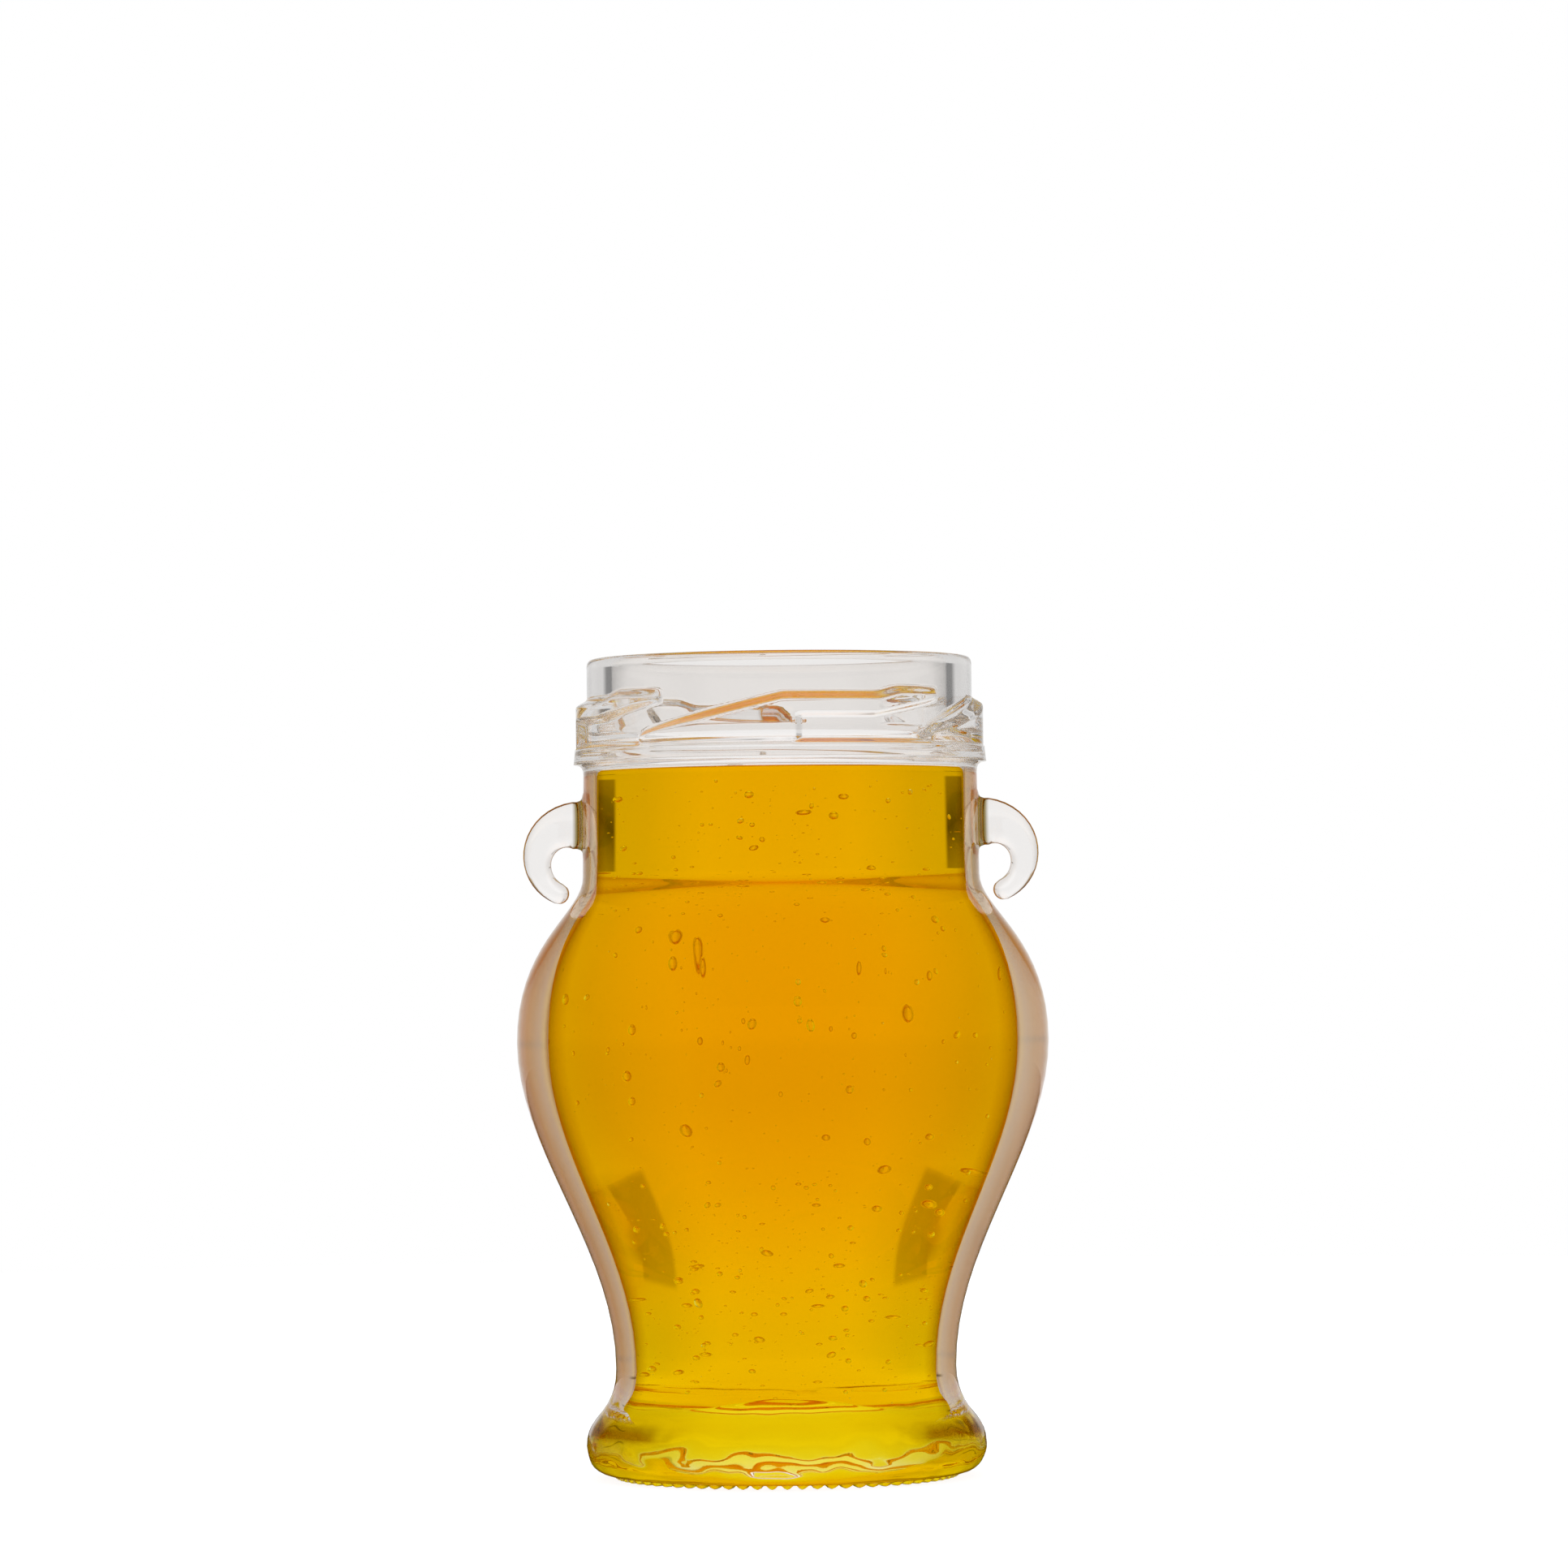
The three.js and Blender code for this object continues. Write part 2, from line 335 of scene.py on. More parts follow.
for vert in glass.verts:
    reach = reach_of(vert.co)
    if reach > finish_radius - WELD and bead_top - bead_slant < vert.co.z < lug_band_top:
        round_jar = math.degrees(math.atan2(vert.co.x, -vert.co.y))
        turn = (round_jar - lug_start) % lug_pitch + lug_start
        height = max(lug_height(turn, vert.co.z), lug_height(turn + lug_pitch, vert.co.z))
        vert.co.xy *= max(reach, finish_radius + height) / reach

# Two handles are drawn out of the neck's wall, opposite each other at the mould's parting line.
# Each is a tapering hook of solid glass that bends down and ends in a free round tip. A patch of
# the neck's faces becomes the root, and is extruded along the hook.
handle_bend = 4.6
handle_offset = 1.25
handle_lift = 2.1
handle_pivot = point(neck_radius + handle_offset, neck_level + handle_lift)
handle_level = handle_pivot.z + handle_bend
handle_sweep = math.radians(156)
handle_root = (6.1, 5.0)
handle_tip = 2.7
handle_taper = 1.5
handle_flatness = 0.62
handle_rounding = 3
handle_rings = 18
handle_fillet = 0.7
fillet_rings = 4
patch_turn = math.radians(8)
patch_height = 3.9

across = glass.verts.layers.float.new("across")
upward = glass.verts.layers.float.new("upward")


def side_turn(place):
    """Angle round the jar from the nearer handle."""
    return math.atan2(place.y, abs(place.x))


def flattened(share, travel):
    """Place across the hook's section, which is flat-sided at the root and round at the tip."""
    power = handle_flatness + (1 - handle_flatness) * travel**handle_rounding
    return math.copysign(abs(share) ** power, share)


def on_neck(widening):
    """Round the handle's root on the neck, set out by the fillet's widening."""
    lift = handle_fillet - math.sqrt(handle_fillet**2 - (handle_fillet - widening) ** 2)

    def place(a, b):
        y = flattened(a, 0) * (handle_root[1] / 2 + widening)
        z = handle_level + flattened(b, 0) * (handle_root[0] / 2 + widening)
        return math.sqrt(neck_radius**2 - y * y) + lift, y, z

    return place


def on_arm(travel):
    """Section of the hook at a share of its way."""
    turn = math.pi / 2 - handle_sweep * travel
    outward = Vector((math.cos(turn), 0, math.sin(turn)))
    girth = (1 - travel) ** handle_taper
    height, depth = (handle_tip + (size - handle_tip) * girth for size in handle_root)

    def place(a, b):
        along = outward * (handle_bend + flattened(b, travel) * height / 2)
        return handle_pivot + along + Vector((0, flattened(a, travel) * depth / 2, 0))

    return place


def on_tip(a, b):
    """Half ball that closes the hook."""
    turn = math.pi / 2 - handle_sweep
    ahead = Vector((math.sin(turn), 0, -math.cos(turn)))
    dome = math.sqrt(max(1 - a * a - b * b, 0))
    return on_arm(1)(a, b) + ahead * dome * handle_tip / 2


def lay(faces, place):
    """Move both handles' faces to a place along the hook, each on its own side."""
    for vert in {vert for face in faces for vert in face.verts}:
        x, y, z = place(vert[across], vert[upward])
        vert.co = (math.copysign(x, vert.co.x), y, z)


patch = []
for face in glass.faces:
    centre = face.calc_center_median()
    near = abs(side_turn(centre)) < patch_turn and abs(centre.z - handle_level) < patch_height
    if near and reach_of(centre) > neck_radius - neck_wall / 2:
        patch.append(face)
patch_verts = {vert for face in patch for vert in face.verts}
widest = max(side_turn(vert.co) for vert in patch_verts)
lowest = min(vert.co.z for vert in patch_verts)
highest = max(vert.co.z for vert in patch_verts)
for vert in patch_verts:
    a = side_turn(vert.co) / widest
    b = 2 * (vert.co.z - lowest) / (highest - lowest) - 1
    vert[across] = a * math.sqrt(1 - b * b / 2)
    vert[upward] = b * math.sqrt(1 - a * a / 2)

stations = [
    on_neck(handle_fillet * (1 - ring / fillet_rings)) for ring in range(fillet_rings + 1)
]
stations += [on_arm(ring / handle_rings) for ring in range(handle_rings + 1)]
lay(patch, stations[0])
for place in stations[1:]:
    edges = {edge for face in patch for edge in face.edges}
    drawn = bmesh.ops.extrude_face_region(glass, geom=patch + list(edges))["geom"]
    patch = [item for item in drawn if isinstance(item, bmesh.types.BMFace)]
    lay(patch, place)
lay(patch, on_tip)

# The glass is clear. Seen edge-on, the body's wall carries a painted reflection of the honey's warm
# light in its colour, in strands, with a painted dark line at the honey's edge, and so do the
# hooks' edges; the hooks' roots, the neck's wall below them and the foot's sides carry painted
# shade, and the side towards +X painted light.
# Where honey wets the inside, the two bend light almost alike, so that the wall hardly shows there.
# The mesh carries where each of these effects holds.
glass_index = 1.51
wetted_index = 1.02
plain_white = (1, 1, 1, 1)
clear_tint = (0.93, 0.912, 0.897, 1)
honey_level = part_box("honey_fill")[1].z / MM
wet_depth = 0.2

# Painted reflection of the honey's light, with painted shade, by depth in the wall, from 0 at the
# honey's edge to 1 at the outline
wall_stops = (
    (-0.6, (0.97, 0.95, 0.935, 1)),
    (-0.3, (0.72, 0.6, 0.5, 1)),
    (-0.1, (0.42, 0.33, 0.2, 1)),
    (0.02, (0.34, 0.1, 0.005, 1)),
    (0.13, (0.68, 0.36, 0.1, 1)),
    (0.28, (0.52, 0.28, 0.14, 1)),
    (0.5, (0.53, 0.24, 0.09, 1)),
    (0.7, (0.49, 0.18, 0.05, 1)),
    (0.85, (0.55, 0.23, 0.11, 1)),
    (1.0, (0.55, 0.32, 0.2, 1)),
)
wall_edge = (0.0, 0.15)
thinnest_wall = 0.95
least_upright = 0.3
strand_grain = (90, 90, 18)
grain_middle = 0.5
strand_sway = 0.12
warm_level = 91
foot_warmth = 0.4

# Painted light: the wall's strands on the side towards +X are paler, as though lit a little more
lit_side = (0.0, 0.034, 0.0, 0.22)
lit_tint = (1.0, 0.77, 0.49, 1)

# Painted shade in the foot's colour, darker where its thick sides are seen edge-on
foot_shade_level = 6.6
foot_shade_reach = (0.6, 1.5)
foot_shade_sides = (0.5, 0.74)
foot_shade_tint = (0.22, 0.1, 0.04, 1)

# Hooks, their roots and the neck's wall below them: the hooks' edges take the painted strands, and
# their roots and the neck's wall below them a painted shade
handle_warmth = 0.6
handle_edge = 0.965
root_reach = 1.0
root_shade_tint = (0.25, 0.18, 0.047, 1)
neck_shading = 0.6
neck_shade_level = 77
neck_shade_reach = (4, 9)

# How steeply a ray may leave the wall once it has crossed the honey, by level
way_out_levels = ((9, 18.5, 0.74), (18.5, 47, 0.97), (47, 60, 0.74), (60, 95, 0.996))
any_way_out = 2.0
past_honey = 4.5

# Inside wall and floor under the honey
first_wall = 1.5
wall_foot = corner_level
floor_glint = (0.9, 0.78, 0.2, 1)
gutter_index = 1.045
gutter_top = 3.0


def feed(tree, socket, value):
    """Link a socket to another, or set its value."""
    if isinstance(value, bpy.types.NodeSocket):
        tree.links.new(value, socket)
    else:
        socket.default_value = value


def maths(tree, operation, *values):
    """Result of one operation on numbers."""
    node = tree.nodes.new("ShaderNodeMath")
    node.operation = operation
    for socket, value in zip(node.inputs, values):
        feed(tree, socket, value)
    return node.outputs["Value"]


def spread(tree, value, low, high, start=0.0, end=1.0):
    """Value carried smoothly from one range to another."""
    node = tree.nodes.new("ShaderNodeMapRange")
    node.interpolation_type = "SMOOTHSTEP"
    names = ("Value", "From Min", "From Max", "To Min", "To Max")
    for name, setting in zip(names, (value, low, high, start, end)):
        feed(tree, node.inputs[name], setting)
    return node.outputs["Result"]


def blend(tree, factor, first, second):
    """Colour between two others."""
    node = tree.nodes.new("ShaderNodeMix")
    node.data_type = "RGBA"
    for name, setting in (("Factor", factor), ("A", first), ("B", second)):
        feed(tree, node.inputs[name], setting)
    return node.outputs["Result"]


def painted(tree, name):
    """Value that the mesh carries at its corners."""
    node = tree.nodes.new("ShaderNodeAttribute")
    node.attribute_name = name
    return node.outputs["Fac"]


def grain_group():
    """Soft uneven pattern fixed to the object, by its cells per metre along each axis."""
    group = bpy.data.node_groups.new("uneven_grain", "ShaderNodeTree")
    group.interface.new_socket("Cells", in_out="INPUT", socket_type="NodeSocketVector")
    group.interface.new_socket("Shade", in_out="OUTPUT", socket_type="NodeSocketFloat")
    scale = group.nodes.new("ShaderNodeVectorMath")
    scale.operation = "MULTIPLY"
    feed(group, scale.inputs[0], group.nodes.new("ShaderNodeTexCoord").outputs["Object"])
    feed(group, scale.inputs[1], group.nodes.new("NodeGroupInput").outputs["Cells"])
    noise = group.nodes.new("ShaderNodeTexNoise")
    noise.inputs["Scale"].default_value = 1.0
    feed(group, noise.inputs["Vector"], scale.outputs["Vector"])
    feed(group, group.nodes.new("NodeGroupOutput").inputs["Shade"], noise.outputs["Fac"])
    return group


uneven_grain = grain_group()


def grain(tree, cells):
    """The uneven pattern at a material's own scale."""
    node = tree.nodes.new("ShaderNodeGroup")
    node.node_tree = uneven_grain
    node.inputs["Cells"].default_value = cells
    return node.outputs["Shade"]


def shades(tree, value, stops):
    """Colour by a value along stops."""
    low, high = stops[0][0], stops[-1][0]
    node = tree.nodes.new("ShaderNodeValToRGB")
    elements = node.color_ramp.elements
    for level, colour in stops[1:-1]:
        elements.new((level - low) / (high - low)).color = colour
    elements[0].color = stops[0][1]
    elements[-1].color = stops[-1][1]
    above_low = maths(tree, "SUBTRACT", value, low)
    feed(tree, node.inputs["Fac"], maths(tree, "DIVIDE", above_low, high - low))
    return node.outputs["Color"]


def facing(tree):
    """0 where a ray meets the surface head on, and 1 edge-on."""
    node = tree.nodes.new("ShaderNodeLayerWeight")
    node.inputs["Blend"].default_value = 0.5
    return node.outputs["Facing"]


def across_of(tree, along):
    """Sine of the angle that has a given cosine."""
    square = maths(tree, "MULTIPLY", along, along)
    rest = maths(tree, "SUBTRACT", 1.0, square)
    return maths(tree, "SQRT", maths(tree, "MAXIMUM", rest, 0.0))


def see_through(name, index):
    """Smooth clear material, its tree and its shader."""
    material = bpy.data.materials.new(name)
    material.use_nodes = True
    shader = material.node_tree.nodes["Principled BSDF"]
    shader.inputs["Base Color"].default_value = plain_white
    shader.inputs["Roughness"].default_value = 0.0
    shader.inputs["IOR"].default_value = index
    shader.inputs["Transmission Weight"].default_value = 1.0
    return material, material.node_tree, shader


def clear_glass():
    """Outside of the jar. A ray that has crossed the honey leaves the wall at any slant."""
    material, tree, shader = see_through("clear_glass", glass_index)
    head_on = maths(tree, "SUBTRACT", 1.0, facing(tree))
    bend = maths(tree, "DIVIDE", painted(tree, "way_out"), across_of(tree, head_on))
    eased = maths(tree, "MINIMUM", bend, glass_index)
    turns = tree.nodes.new("ShaderNodeLightPath").outputs["Ray Depth"]
    leaving = maths(tree, "GREATER_THAN", turns, past_honey)
    easing = maths(tree, "SUBTRACT", eased, glass_index)
    feed(tree, shader.inputs["IOR"], maths(tree, "MULTIPLY_ADD", leaving, easing, glass_index))

    # Painted reflection: the wall's colour runs through strands of the honey's light, by how deep
    # in the wall an edge-on ray goes
    level_on = maths(tree, "DIVIDE", head_on, painted(tree, "upright"))
    aside = across_of(tree, level_on)
    inner = painted(tree, "inner_share")
    past_inner = maths(tree, "SUBTRACT", aside, inner)
    depth = maths(tree, "DIVIDE", past_inner, maths(tree, "SUBTRACT", 1.0, inner))
    uneven = maths(tree, "SUBTRACT", grain(tree, strand_grain), grain_middle)
    sway = maths(tree, "MULTIPLY", uneven, strand_sway)
    strands = shades(tree, maths(tree, "ADD", depth, sway), wall_stops)

    split = tree.nodes.new("ShaderNodeSeparateXYZ")
    feed(tree, split.inputs["Vector"], tree.nodes.new("ShaderNodeTexCoord").outputs["Object"])
    in_wall = spread(tree, depth, *wall_edge)
    # Painted light on the wall's strands towards +X
    sideways = spread(tree, split.outputs["X"], *lit_side)
    lit = blend(tree, maths(tree, "MULTIPLY", sideways, in_wall), strands, lit_tint)
    warm = blend(tree, painted(tree, "warm_wall"), clear_tint, lit)

    # Painted shade at the hooks' roots and on the neck's wall below them
    at_neck = maths(tree, "MULTIPLY", painted(tree, "neck_shade"), in_wall)
    shaded = maths(tree, "MAXIMUM", painted(tree, "root_shade"), at_neck)
    wall = blend(tree, shaded, warm, root_shade_tint)
    # Painted shade at the foot's sides
    beside = spread(tree, maths(tree, "ADD", aside, sway), *foot_shade_sides)
    foot_shaded = maths(tree, "MULTIPLY", beside, painted(tree, "lens"))
    feed(tree, shader.inputs["Base Color"], blend(tree, foot_shaded, wall, foot_shade_tint))
    return material


def wetted_glass():
    """Inside under honey: a ray that comes steeply along the wall stays in it, and others pass."""
    material, tree, shader = see_through("wetted_glass", glass_index)
    limit = 1 - math.sqrt(1 - 1 / glass_index**2)
    steep = maths(tree, "GREATER_THAN", facing(tree), limit)
    inside = tree.nodes.new("ShaderNodeNewGeometry").outputs["Backfacing"]
    turns = tree.nodes.new("ShaderNodeLightPath").outputs["Ray Depth"]
    first = maths(tree, "LESS_THAN", turns, first_wall)
    side = painted(tree, "side_wall")
    held = maths(tree, "MULTIPLY", steep, inside)
    kept = maths(tree, "MULTIPLY", held, maths(tree, "MULTIPLY", first, side))
    gutter = painted(tree, "gutter")
    low = maths(tree, "MULTIPLY_ADD", gutter, gutter_index - wetted_index, wetted_index)
    index = maths(tree, "MULTIPLY_ADD", kept, glass_index - wetted_index, low)
    feed(tree, shader.inputs["IOR"], index)
    feed(tree, shader.inputs["Specular Tint"], blend(tree, side, floor_glint, plain_white))
    return material


def make_piece(bm, name, *materials):
    """Scale a mesh to metres, turn its faces outwards and place it in the scene."""
    bmesh.ops.scale(bm, vec=(MM, MM, MM), verts=bm.verts)
    bmesh.ops.recalc_face_normals(bm, faces=bm.faces)
    for face in bm.faces:
        face.smooth = True
    mesh = bpy.data.meshes.new(name)
    bm.to_mesh(mesh)
    bm.free()
    for material in materials:
        mesh.materials.append(material)
    piece = bpy.data.objects.new(name, mesh)
    scene.collection.objects.link(piece)
    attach(piece, "root")
    return piece


def cavity_radius(level):
    """Radius of the inside wall at a level."""
    for low, high in zip(cavity, cavity[1:]):
        if low.x > gutter_radius - WELD and low.z <= level <= high.z:
            return low.x + (high.x - low.x) * (level - low.z) / (high.z - low.z)
    return cavity[-1].x


def near_level(level, middle, reach):
    """1 near a level, fading to 0 between two distances from it."""
    return 1 - ease((abs(level - middle) - reach[0]) / (reach[1] - reach[0]))


warm_wall = glass.verts.layers.float.new("warm_wall")
side_wall = glass.verts.layers.float.new("side_wall")
way_out = glass.verts.layers.float.new("way_out")
upright = glass.verts.layers.float.new("upright")
inner_share = glass.verts.layers.float.new("inner_share")
lens = glass.verts.layers.float.new("lens")
gutter_wall = glass.verts.layers.float.new("gutter")
root_shade = glass.verts.layers.float.new("root_shade")
neck_shade = glass.verts.layers.float.new("neck_shade")
bmesh.ops.recalc_face_normals(glass, faces=glass.faces)
glass.normal_update()
# Each corner carries where the glass's painted strands, painted light and painted shade hold, and
# how light may bend there
for vert in glass.verts:
    level = vert.co.z
    reach = reach_of(vert.co)
    # The hooks take the painted strands at their edges and painted shade at their roots, and the
    # neck's wall below them painted shade
    beside_neck = neck_level < level < bead_bottom - bead_fillet
    if beside_neck and reach > neck_radius + WELD:
        vert[upright] = 1.0
        vert[inner_share] = handle_edge
        vert[warm_wall] = handle_warmth
        vert[root_shade] = float(reach < neck_radius + root_reach)
    else:
        vert[upright] = max(math.hypot(vert.normal.x, vert.normal.y), least_upright)
        vert[inner_share] = min(cavity_radius(level) / max(reach, 1), thinnest_wall)
        vert[warm_wall] = float(level < warm_level) * (1 - (1 - foot_warmth) * foot_share(level))
        vert[neck_shade] = neck_shading * near_level(level, neck_shade_level, neck_shade_reach)
    vert[side_wall] = float(level > wall_foot)
    vert[gutter_wall] = float(level < gutter_top)
    # Where the foot's painted shade holds
    vert[lens] = near_level(level, foot_shade_level, foot_shade_reach)
    limits = [limit for low, high, limit in way_out_levels if low <= level < high]
    vert[way_out] = min(limits, default=any_way_out)
for face in glass.faces:
    centre = face.calc_center_median()
    wet = gutter_level - WELD < centre.z < honey_level
    if wet and reach_of(centre) < cavity_radius(centre.z) + wet_depth:
        face.material_index = 1

jar = make_piece(glass, "glass_jar_moulded", clear_glass(), wetted_glass())
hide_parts("glass_jar")

# Clear golden honey fills the jar to just under the bead. It stands in the glass with a free top,
# which climbs a little at the wall, and takes its colour from its depth.
honey_columns = 240
honey_gap = 0.3
honey_wall = neck_radius - neck_wall - honey_gap
meniscus_rise = 0.25
meniscus_width = 1.2
honey_top_rows = (6, 7, 6)
honey_index = 1.49
honey_tints = ((0.95, 0.93, 0.7, 1), (1.0, 0.98, 0.7, 1))
honey_grain = (60, 60, 25)
honey_shade = (0.993, 0.941, 0.0, 1)
honey_density = 280.0


def honey_outline():
    """Along the inside of the glass, and over the free top to the axis."""
    edge = point(honey_wall, honey_level)
    surface = point(honey_wall - meniscus_width, honey_level - meniscus_rise)
    return (
        cavity_outline(honey_gap)
        + straight(point(honey_wall, neck_level), edge, honey_top_rows[0])
        + rounded(edge, point(honey_wall, surface.z), surface, honey_top_rows[1])
        + straight(surface, point(0, surface.z), honey_top_rows[2])
    )


def clear_honey():
    """Slightly uneven clear honey that bends light at its free top alone, the wall being wetted."""
    material, tree, shader = see_through("honey", honey_index)
    tint = blend(tree, grain(tree, honey_grain), *honey_tints)
    feed(tree, shader.inputs["Base Color"], tint)
    index = maths(tree, "MULTIPLY_ADD", painted(tree, "free_top"), honey_index - 1, 1.0)
    feed(tree, shader.inputs["IOR"], index)
    volume = tree.nodes.new("ShaderNodeVolumeAbsorption")
    volume.inputs["Color"].default_value = honey_shade
    volume.inputs["Density"].default_value = honey_density
    tree.links.new(volume.outputs["Volume"], tree.nodes["Material Output"].inputs["Volume"])
    return material


fill = spin_outline(honey_outline(), honey_columns)
free_top = fill.verts.layers.float.new("free_top")
for vert in fill.verts:
    inward = reach_of(vert.co) < honey_wall - WELD
    vert[free_top] = float(inward and vert.co.z > honey_level - 2 * meniscus_rise)
honey = make_piece(fill, "honey_clear", clear_honey())
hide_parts("honey_fill")

# Small air bubbles hang in the honey, stirred in as it was filled. Most are tiny, and a few large
# ones are drawn out or pressed flat.
bubble_count = 1300
bubble_seed = 11
bubble_sides = (10, 6)
bubble_radius = (0.08, 0.55)
bubble_rarity = 6
bubble_stretches = (0.7, 0.85, 1.0, 1.0, 1.15, 1.4)
bubble_lean = 0.6
bubble_clearance = 1.0
bubble_levels = (dome_level + 1, honey_level - 2)
bubble_tint = (1.0, 0.99, 0.95, 1)
bubble_glint = (0.55, 0.42, 0.2, 1)


def air():
    """Air as seen from the honey round it."""
    material, _, shader = see_through("air_bubble", 1 / honey_index)
    shader.inputs["Base Color"].default_value = bubble_tint
    shader.inputs["Specular Tint"].default_value = bubble_glint
    return material


def scatter_bubbles():
    """All bubbles in one mesh, each a stretched and leaning copy of one small ball."""
    chance = random.Random(bubble_seed)
    smallest, largest = bubble_radius
    ball = bmesh.new()
    around, upright_rings = bubble_sides
    bmesh.ops.create_uvsphere(ball, u_segments=around, v_segments=upright_rings, radius=1)
    bm = bmesh.new()
    for _ in range(bubble_count):
        size = smallest + (largest - smallest) * chance.random() ** bubble_rarity
        level = chance.uniform(*bubble_levels)
        room = cavity_radius(level) - honey_gap - bubble_clearance - size
        out = room * math.sqrt(chance.random())
        turn = chance.uniform(0, TURN)
        stretch = chance.choice(bubble_stretches)
        leans = [chance.uniform(-bubble_lean, bubble_lean) for _ in range(3)]
        lean = Euler(leans).to_matrix().to_4x4()
        place = Matrix.Translation((out * math.cos(turn), out * math.sin(turn), level))
        bubble = bpy.data.meshes.new("bubble")
        ball.to_mesh(bubble)
        bubble.transform(place @ lean @ Matrix.Diagonal((size, size, size * stretch, 1)))
        bm.from_mesh(bubble)
        bpy.data.meshes.remove(bubble)
    ball.free()
    return bm


bubbles = make_piece(scatter_bubbles(), "air_bubbles", air())

# The jar stands on a plain round table with a pale matt top. The table glows just enough to look
# white to the eye, and seen through the glass it is as bright as the sky behind it.
table_radius = 0.6
table_sides = 96
table_roughness = 0.7
table_glow = 0.9
table_through = 0.98
table_colour = (0.25, 0.25, 0.25, 1)
no_colour = (0, 0, 0, 1)
# Brightness by the angle round the jar, in degrees from straight behind it
backdrop_stops = (
    (0, 1.0), (14, 1.0), (30, 0.84), (60, 0.78), (90, 0.74),
    (108, 0.52), (120, 0.52), (134, 0.82), (172, 0.88), (180, 0.9),
)


def ramp(tree, angle, stops):
    """Shade by an angle, in radians, along stops in degrees."""
    node = tree.nodes.new("ShaderNodeValToRGB")
    elements = node.color_ramp.elements
    for degrees, shade in stops[1:-1]:
        elements.new(degrees / 180).color = (shade, shade, shade, 1)
    for end, (_, shade) in ((0, stops[0]), (-1, stops[-1])):
        elements[end].color = (shade, shade, shade, 1)
    feed(tree, node.inputs["Fac"], maths(tree, "DIVIDE", angle, math.pi))
    return node.outputs["Color"]


def round_angle(tree, direction):
    """Angle round the jar from straight behind it, on either side."""
    split = tree.nodes.new("ShaderNodeSeparateXYZ")
    feed(tree, split.inputs["Vector"], direction)
    turn = maths(tree, "ARCTAN2", split.outputs["X"], split.outputs["Y"])
    return maths(tree, "ABSOLUTE", turn)


def thrown_back(tree):
    """1 for a ray that a surface has thrown back, and 0 for one that has come through."""
    path = tree.nodes.new("ShaderNodeLightPath").outputs
    glossy = maths(tree, "SUBTRACT", path["Is Glossy Ray"], path["Is Transmission Ray"])
    return maths(tree, "MAXIMUM", glossy, 0.0)


def white_table():
    """Matt top that glows to the eye and through the glass, and not in a reflection."""
    material = bpy.data.materials.new("white_table")
    material.use_nodes = True
    tree = material.node_tree
    shader = tree.nodes["Principled BSDF"]
    shader.inputs["Roughness"].default_value = table_roughness
    shader.inputs["Specular IOR Level"].default_value = 0.0
    shader.inputs["Emission Color"].default_value = plain_white
    mirrored = thrown_back(tree)
    eye = tree.nodes.new("ShaderNodeLightPath").outputs["Is Camera Ray"]
    feed(tree, shader.inputs["Base Color"], blend(tree, eye, no_colour, table_colour))
    place = tree.nodes.new("ShaderNodeTexCoord").outputs["Object"]
    backdrop = ramp(tree, round_angle(tree, place), backdrop_stops)
    through = maths(tree, "MULTIPLY", backdrop, table_through)
    kept = maths(tree, "MULTIPLY", through, maths(tree, "SUBTRACT", 1.0, mirrored))
    to_eye = maths(tree, "MULTIPLY", eye, table_glow)
    feed(tree, shader.inputs["Emission Strength"], maths(tree, "MAXIMUM", kept, to_eye))
    return material


def studio_table():
    """Flat round top at the level that the jar stands on."""
    bm = bmesh.new()
    bmesh.ops.create_circle(bm, cap_ends=True, segments=table_sides, radius=table_radius)
    mesh = bpy.data.meshes.new("studio_table")
    bm.to_mesh(mesh)
    bm.free()
    mesh.materials.append(white_table())
    table = bpy.data.objects.new("studio_table", mesh)
    scene.collection.objects.link(table)
    return table


studio_table()

# To the eye the sky is plain white. Seen through the glass it is brightest behind the jar and falls
# off to the sides. Between the lights stay narrow dark gaps, and above the side lights the room is
# dim. Angles are in degrees, round the jar from behind it and upwards from straight below.
bar_stops = ((0, 0.0), (42.5, 0.0), (44, 1.0), (55, 1.0), (57, 0.0), (180, 0.0))
bar_levels = ((0, 0.0), (89.2, 0.0), (89.45, 0.85), (90.5, 0.85), (90.9, 0.0), (180, 0.0))
streak_stops = ((0, 0.0), (35, 0.0), (41, 1.0), (60, 1.0), (70, 0.0), (180, 0.0))
streak_levels = ((0, 0.0), (91.2, 0.0), (91.6, 0.7), (93, 0.7), (93.6, 0.0), (180, 0.0))
honey_bends = 5.5
wall_bends = 1.5
room_shade = 0.3
room_side = [math.radians(angle) for angle in (25, 27)]
room_end = [math.radians(angle) for angle in (40.5, 42.5)]
room_edge = [math.radians(angle) for angle in (9.0, 11.2)]
room_slope = 0.45
sky_levels = ((0, 0.85), (88.5, 0.85), (91, 0.81), (98, 0.8), (112, 0.85), (180, 0.95))
sky_light = 1.17
mirror_stops = ((0, 0.9), (12, 0.7), (25, 0.2), (40, 0.0), (180, 0.0))


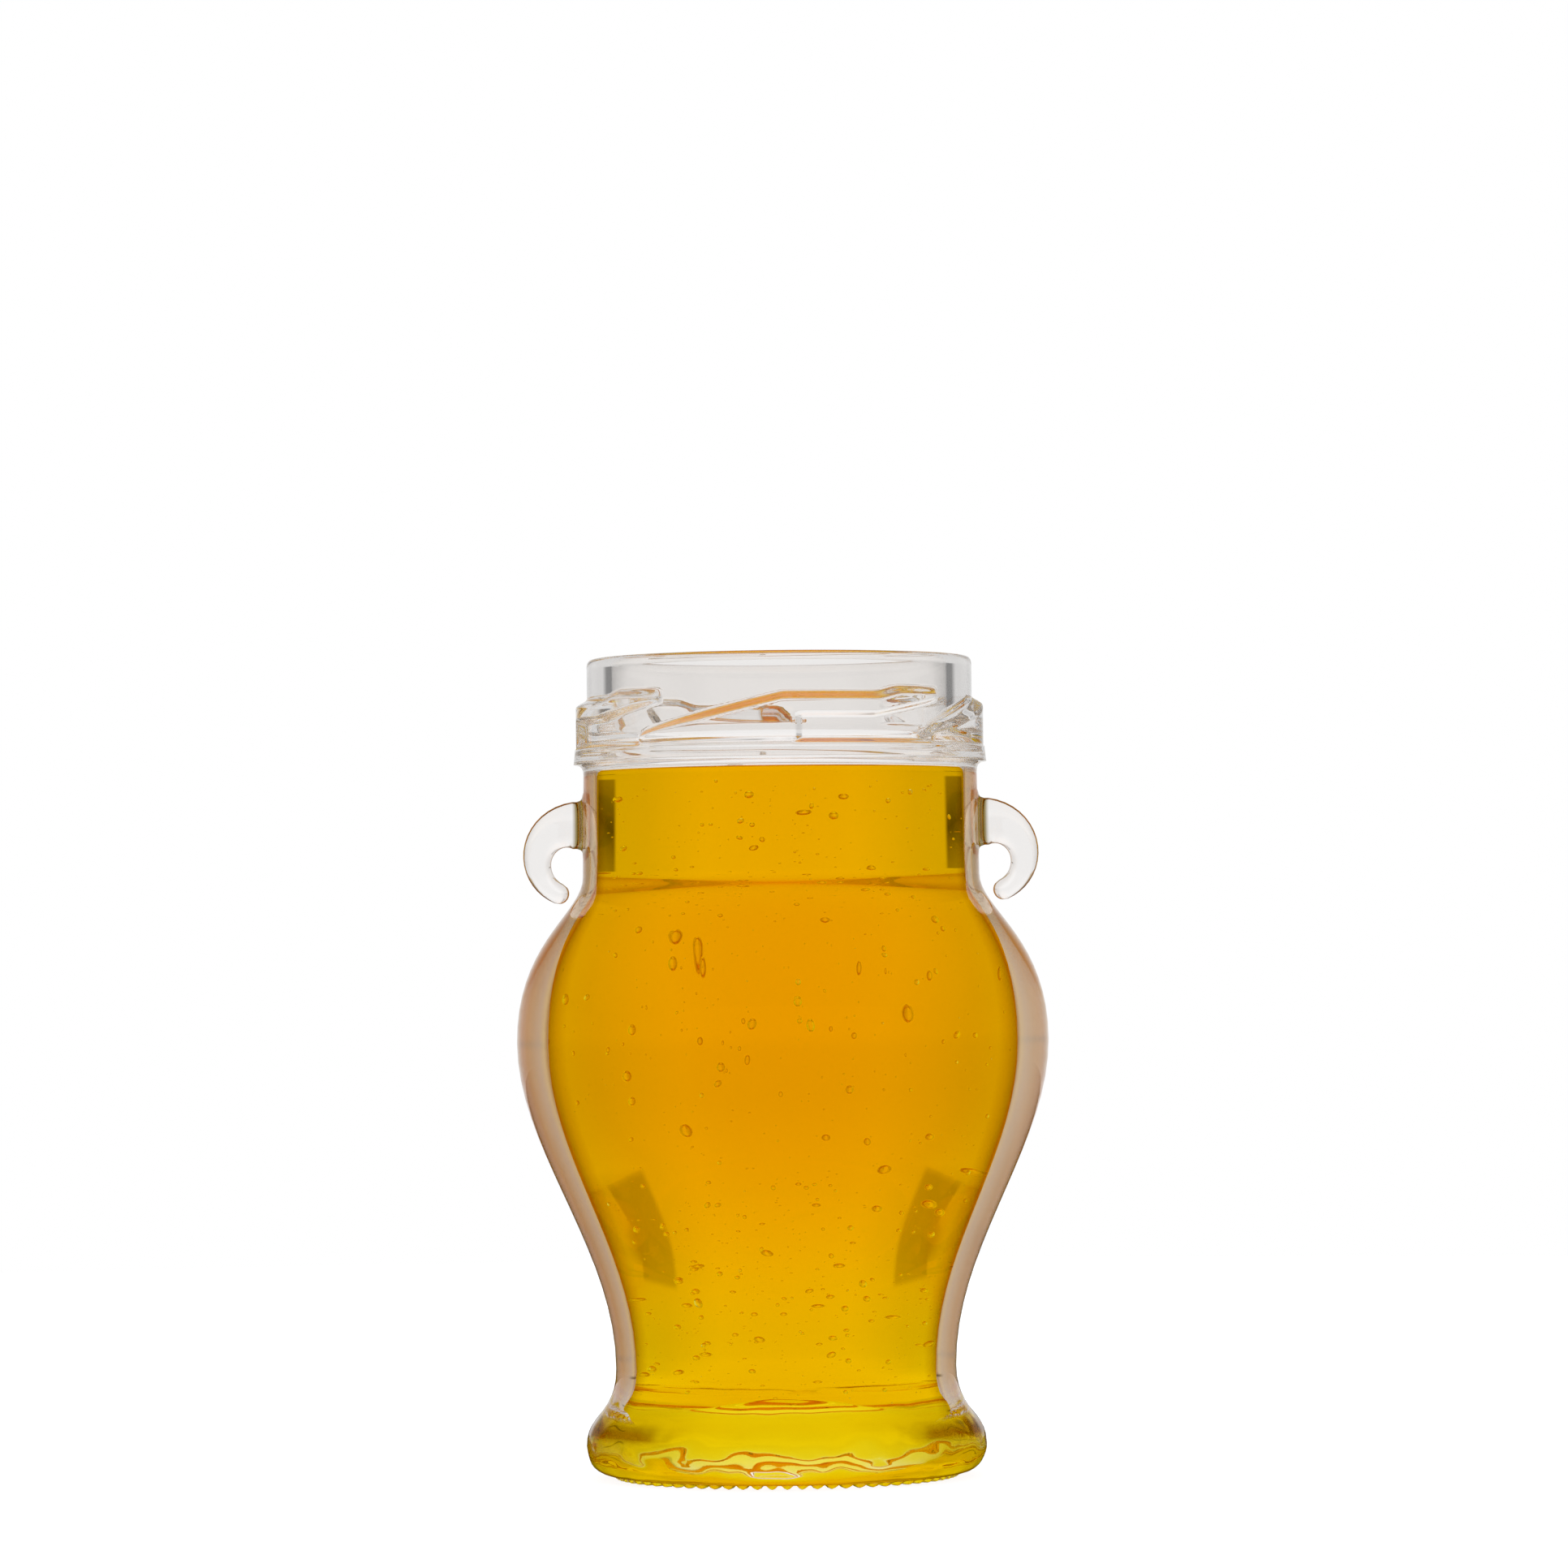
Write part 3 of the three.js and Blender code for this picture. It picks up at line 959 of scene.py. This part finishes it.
def studio_sky():
    """White to the eye, shaded through the glass, and one soft light behind in its reflections."""
    world = bpy.data.worlds.new("studio_sky")
    world.use_nodes = True
    tree = world.node_tree
    direction = tree.nodes.new("ShaderNodeTexCoord").outputs["Generated"]
    aside = round_angle(tree, direction)
    split = tree.nodes.new("ShaderNodeSeparateXYZ")
    feed(tree, split.inputs["Vector"], direction)
    rise = maths(tree, "ARCSINE", split.outputs["Z"])
    height = maths(tree, "ADD", rise, math.pi / 2)

    def patch_of_sky(stops, levels):
        return maths(tree, "MULTIPLY", ramp(tree, aside, stops), ramp(tree, height, levels))

    over = maths(tree, "MULTIPLY_ADD", aside, -room_slope, rise)
    beside = spread(tree, aside, *room_side)
    within = spread(tree, aside, *room_end, 1.0, 0.0)
    above = spread(tree, over, *room_edge, 0.0, room_shade)
    dim = maths(tree, "MULTIPLY", maths(tree, "MULTIPLY", beside, within), above)

    bends = tree.nodes.new("ShaderNodeLightPath").outputs["Transmission Depth"]
    through_honey = maths(tree, "GREATER_THAN", bends, honey_bends)
    through_glass = maths(tree, "GREATER_THAN", bends, wall_bends)
    through_wall = maths(tree, "SUBTRACT", through_glass, through_honey)
    bar = maths(tree, "MULTIPLY", patch_of_sky(bar_stops, bar_levels), through_honey)
    streak = maths(tree, "MULTIPLY", patch_of_sky(streak_stops, streak_levels), through_wall)
    dark = maths(tree, "MAXIMUM", maths(tree, "ADD", bar, streak), dim)

    light = maths(tree, "MULTIPLY", patch_of_sky(backdrop_stops, sky_levels), sky_light)
    sky = maths(tree, "MULTIPLY", light, maths(tree, "SUBTRACT", 1.0, dark))
    mirror = ramp(tree, maths(tree, "ARCCOSINE", split.outputs["Y"]), mirror_stops)
    seen = blend(tree, thrown_back(tree), sky, mirror)
    eye = tree.nodes.new("ShaderNodeLightPath").outputs["Is Camera Ray"]
    feed(tree, tree.nodes["Background"].inputs["Color"], blend(tree, eye, seen, plain_white))
    return world


scene.world = studio_sky()

# The camera stands at the photograph's viewing angle: a long lens, level with the shoulder and
# leaning very slightly. Lengths are in metres. Light needs many bounces to come through the jar.
camera_distance = 0.86
camera_height = 0.068
aim = Vector((0.0005, 0, 0.0894))
camera_roll = math.radians(-0.6)
sensor_width = 36
pixel_size = 0.000105
photo_pixels = 1932
light_bounces = 32
mirror_bounces = 16

camera = bpy.data.objects.new("camera", bpy.data.cameras.new("camera"))
camera.data.sensor_width = sensor_width
camera.data.lens = sensor_width * camera_distance / (pixel_size * photo_pixels)
camera.location = (aim.x, -camera_distance, camera_height)
camera.rotation_mode = "QUATERNION"
sight = (aim - camera.location).to_track_quat("-Z", "Y")
camera.rotation_quaternion = sight @ Quaternion((0, 0, 1), camera_roll)
scene.collection.objects.link(camera)
scene.camera = camera
scene.view_settings.view_transform = "Standard"
scene.cycles.max_bounces = light_bounces
scene.cycles.transmission_bounces = light_bounces
scene.cycles.glossy_bounces = mirror_bounces
